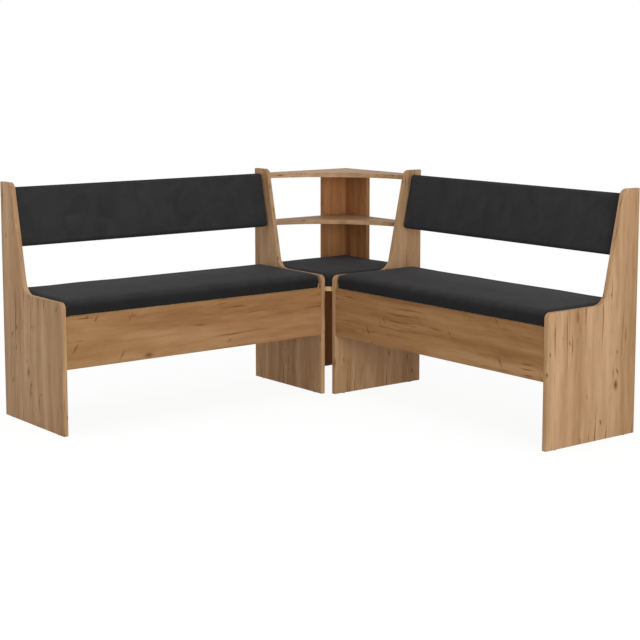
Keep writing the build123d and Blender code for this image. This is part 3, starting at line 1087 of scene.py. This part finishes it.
    def _lid_undersides(self) -> None:
        """Folded covers and hinge screws under the lids."""
        low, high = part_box("left_seat_board")
        width, depth = high.x - low.x, high.y - low.y
        hinges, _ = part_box("left_hinge_lid_leaves")
        near = hinges.x - low.x - self.hinge_cut_away
        far = near + self.hinge_length + 2 * self.hinge_cut_away
        free = [(near, far), (width - far, width - near)]
        under = turned_over(Matrix.Translation(low), width)
        self._fold("lid", StapledMargin(width, depth, free), under, on_lid=True)
        for kind, on_lid in (("hinge_chest_screws", False), ("hinge_lid_screws", True)):
            low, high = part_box(f"left_{kind}")
            edge, spread = SUNK_HEAD.radius, SUNK_HEAD.radius + self.hinge_screw_spread
            row = (low.x + edge, low.x + spread, high.x - spread, high.x - edge)
            y = (low.y + high.y) / 2
            up = -1 if on_lid else 1
            z = (low.z if on_lid else high.z) - up * SUNK_HEAD.height
            places = [facing((x, y, z), (0, 0, up)) for x in row]
            self._fix(f"{kind[:-1]}_heads", SUNK_HEAD, places, on_lid, kind)

    def _backrest_backs(self) -> None:
        """Folded covers and bracket screws behind the backrests."""
        tilted, width, height = self._tilted_board()
        rear = turned_over(tilted, width)
        self._fold("backrest", StapledMargin(width, height), rear, on_lid=False)
        places = []
        for y in (self.bracket_edge, height - self.bracket_edge):
            for end, inward in ((0.0, 1.0), (width, -1.0)):
                for reach in (self.bracket_screw, 2 * self.bracket_screw):
                    places.append(rear @ facing((end + inward * reach, y, self.bracket_steel), (0, 0, 1)))
                panel = end + inward * (self.bracket_steel - self.bracket_reach)
                places.append(rear @ facing((panel, y, self.bracket_screw), (inward, 0, 0)))
        self._fix("bracket_screws", PAN_HEAD, places)

    def _chest_fixings(self) -> None:
        """Cams in the chest boards, and the screws of the bearers and of the cleat."""
        low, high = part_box("left_cam_locks")
        edge = CAM_DISC.radius
        spots = [(x, z) for x in (low.x + edge, high.x - edge) for z in (low.z + edge, high.z - edge)]
        cams = [facing((x, low.y, z), (0, 1, 0)) for x, z in spots]
        cams += [facing((x, high.y, z), (0, -1, 0)) for x, z in spots]
        self._fix("cam_lock_discs", CAM_DISC, cams, replaced="cam_locks")
        low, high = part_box("left_floor_bearers")
        thick, z = high.z - low.z, (low.z + high.z) / 2
        row = [low.x + (high.x - low.x) * share for share in self.bearer_screws]
        screws = [facing((x, high.y - thick, z), (0, -1, 0)) for x in row]
        screws += [facing((x, low.y + thick, z), (0, 1, 0)) for x in row]
        self._fix("bearer_screws", PAN_HEAD, screws)
        low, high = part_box("left_corner_cleat")
        row = [low.y + (high.y - low.y) * share for share in self.cleat_screws]
        screws = [facing((high.x, y, (low.z + high.z) / 2), (1, 0, 0)) for y in row]
        self._fix("cleat_screws", PAN_HEAD, screws)

    def _dress(self, side: Side) -> None:
        """Give the rigid pieces of one wing their finishes.

        Args:
            side: The wing.
        """
        finish = self.finishes
        kinds = {
            "outer_end_panel": finish.board[GrainAxis.Z],
            "inner_end_panel": finish.board[GrainAxis.Z],
            "apron": finish.apron[side],
            "chest_back": finish.apron[side],
            "chest_floor": finish.hardboard,
            "floor_bearers": finish.batten[side.along],
            "corner_cleat": finish.batten[side.across],
            "seat_board": finish.chipboard,
            "backrest_board": finish.chipboard,
            "backrest_brackets": finish.plated,
            "hinge_fixed_leaves": finish.plated,
            "hinge_lid_leaves": finish.plated,
            "hinge_pins": finish.plated,
            "cam_bolts": finish.cast,
            "glides": finish.nylon,
        }
        for kind, material in kinds.items():
            dress(f"{side.value}_{kind}", material)


@dataclass
class CornerUnit:
    """The corner post, its shelves and the corner seat."""

    finishes: Finishes
    nose: float = 30 * MM
    edge_round: float = 14 * MM
    crown: float = 5 * MM
    draw_in: float = 2.5 * MM
    hills: float = 1 * MM
    hill_seed: float = 11.0
    board: float = 16 * MM
    bracket_width: float = 20 * MM
    bracket_drop: float = 20 * MM
    bracket_steel: float = 2 * MM
    bracket_screw: float = 12 * MM
    bracket_far_screw: float = 30 * MM

    def build(self) -> None:
        """Build the loose cushion and the fixings, and dress the boards and fittings."""
        self._cushion()
        self._shelf_fixings()
        self._dress()

    def _cushion(self) -> None:
        """Loose cushion of the corner seat."""
        low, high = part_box("corner_cushion")
        size = high - low
        outline = [(0.0, self.nose), (self.nose, 0.0), (size.x, 0.0), (size.x, size.y), (0.0, size.y)]
        pad = Pad("corner_cushion", outline, size.z, self.edge_round, self.crown, self.draw_in).build()
        mesh = placed(uneven(pad, self.hills, self.hill_seed), Matrix.Translation(low))
        show_pad(mesh, "frame", "corner_cushion", self.finishes.cloth)

    def _shelf_fixings(self) -> None:
        """Cams under the shelves and the screws of the post's brackets, alike on both sides."""
        sides = [side.place for side in Side]
        low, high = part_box("shelf_cam_locks")
        x, y = low.x + CAM_DISC.radius, high.y - CAM_DISC.radius
        spots = ((x, y, high.z), (x, y - self.board / 2, low.z + CAM_DISC.height))
        cams = repeated(CAM_DISC.build(), [facing(spot, (0, 0, -1)) for spot in spots])
        discs = show(
            "shelf_cam_lock_discs", repeated(cams, sides), "frame", self.finishes.cast
        )
        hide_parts("shelf_cam_locks")
        low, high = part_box("post_brackets")
        x = low.x + self.bracket_width / 2
        places = []
        for z in (low.z + self.bracket_drop, high.z):
            for reach in (self.bracket_screw, self.bracket_far_screw):
                places.append(facing((x, high.y - reach, z - self.bracket_steel), (0, 0, -1)))
            places.append(facing((x, high.y - self.bracket_steel, z - self.bracket_screw), (0, -1, 0)))
        screws = repeated(repeated(PAN_HEAD.build(), places), sides)
        show("post_bracket_screws", screws, "frame", self.finishes.plated)

    def _dress(self) -> None:
        """Give the rigid pieces their finishes."""
        finish = self.finishes
        kinds = {
            "post_left_board": finish.post,
            "post_right_board": finish.post,
            "corner_top_shelf": finish.board[GrainAxis.X],
            "corner_middle_shelf": finish.board[GrainAxis.X],
            "corner_seat_board": finish.chipboard,
            "post_brackets": finish.plated,
            "shelf_cam_bolts": finish.cast,
            "post_glides": finish.nylon,
        }
        for node, material in kinds.items():
            dress(node, material)


@dataclass(frozen=True)
class Lamp:
    """Square soft light that faces the bench."""

    name: str
    place: Vector
    size: float
    watts: float
    aim: Vector = Vector((0.0, 0.0, 0.4))

    def build(self) -> None:
        """Set the lamp up."""
        data = bpy.data.lights.new(self.name, "AREA")
        data.size = self.size
        data.energy = self.watts
        lamp = in_scene(self.name, data)
        lamp.location = self.place
        lamp.rotation_euler = (self.aim - self.place).to_track_quat("-Z", "Y").to_euler()


@dataclass
class Studio:
    """Pale floor, soft light and the camera."""

    camera_place: Vector = Vector((-3.074, -3.994, 1.213))
    camera_turn: Vector = Vector((radians(82.70), 0.0, radians(-37.93)))
    lens_mm: float = 86.34
    shift: tuple[float, float] = (-0.0017, -0.10)
    lamps: tuple[Lamp, ...] = (
        Lamp("key_light", Vector((-1.2, -4.6, 1.1)), size=2.1, watts=112.0),
        Lamp("side_light", Vector((-1.9, 0.4, 1.7)), size=1.0, watts=6.5),
        Lamp("top_light", Vector((-0.3, -0.3, 3.6)), size=2.4, watts=18.0),
    )
    backdrop_light: float = 0.51
    floor_reach: float = 12.0
    floor_glow: float = 0.92  # of the floor itself, to which the shadowed light is added
    shadow_reach: tuple[float, float] = (1.6, 2.6)

    def build(self) -> None:
        """Set up the room."""
        bpy.context.scene.view_settings.view_transform = "Standard"
        self._camera()
        self._world()
        self._floor()
        for lamp in self.lamps:
            lamp.build()

    def _camera(self) -> None:
        """Camera at the photograph's place."""
        data = bpy.data.cameras.new("camera")
        data.lens = self.lens_mm
        data.shift_x, data.shift_y = self.shift
        camera = in_scene("camera", data)
        camera.location = self.camera_place
        camera.rotation_euler = self.camera_turn
        bpy.context.scene.camera = camera

    def _seen(self, tree: NodeTree) -> NodeSocket:
        """Tell rays that look at the backdrop, itself or in a reflection, from those of its light.

        Args:
            tree: Node tree of the backdrop.

        Returns:
            One for the rays that look.
        """
        path = add_node(tree, "LightPath").node.outputs
        seen = path["Is Camera Ray"]
        for kind in ("Is Glossy Ray", "Is Transmission Ray"):
            seen = add_node(tree, "Math", {0: seen, 1: path[kind]}, operation="MAXIMUM")
        return seen

    def _world(self) -> None:
        """White backdrop that gives a plain soft light."""
        world = bpy.data.worlds.new("studio")
        bpy.context.scene.world = world
        world.use_nodes = True
        tree = world.node_tree
        light = tree.nodes["Background"]
        feed(light, {"Color": linear("#FFFFFF"), "Strength": self.backdrop_light})
        white = add_node(tree, "Background", {"Color": linear("#FFFFFF"), "Strength": 1.0})
        mixed = add_node(tree, "MixShader", {0: self._seen(tree), 1: light.outputs[0], 2: white})
        feed(tree.nodes["World Output"], {"Surface": mixed})

    def _floor(self) -> None:
        """White floor that keeps a faint shadow near the bench."""
        material, tree, surface, place = new_material("white_floor")
        bounce, shadow = (
            add_node(tree, "BsdfDiffuse", {"Color": linear(colour)}) for colour in ("#E6E6E6", "#5E5E5E")
        )
        glow, white = (
            add_node(tree, "Emission", {"Strength": strength}) for strength in (self.floor_glow, 1.0)
        )
        near = add_node(tree, "AddShader", {0: shadow, 1: glow})
        reach = add_node(tree, "VectorMath", {0: place}, out="Value", operation="LENGTH")
        start, end = self.shadow_reach
        faded = {"Value": reach, "From Min": start, "From Max": end}
        fade = add_node(tree, "MapRange", faded, interpolation_type="SMOOTHSTEP")
        looked_at = add_node(tree, "MixShader", {0: fade, 1: near, 2: white})
        mixed = add_node(tree, "MixShader", {0: self._seen(tree), 1: bounce, 2: looked_at})
        feed(tree.nodes["Material Output"], {"Surface": mixed})
        tree.nodes.remove(surface)
        shape = bmesh.new()
        bmesh.ops.create_grid(shape, x_segments=1, y_segments=1, size=self.floor_reach)
        mesh = finished(shape, "floor")
        mesh.materials.append(material)
        in_scene("floor", mesh)


def main() -> None:
    """Build the studio and the bench in order."""
    logging.basicConfig(level=logging.INFO, format="%(name)s: %(message)s")
    Studio().build()
    finishes = Finishes()
    Wings(finishes).build()
    CornerUnit(finishes).build()


if __name__ == "__main__":
    main()
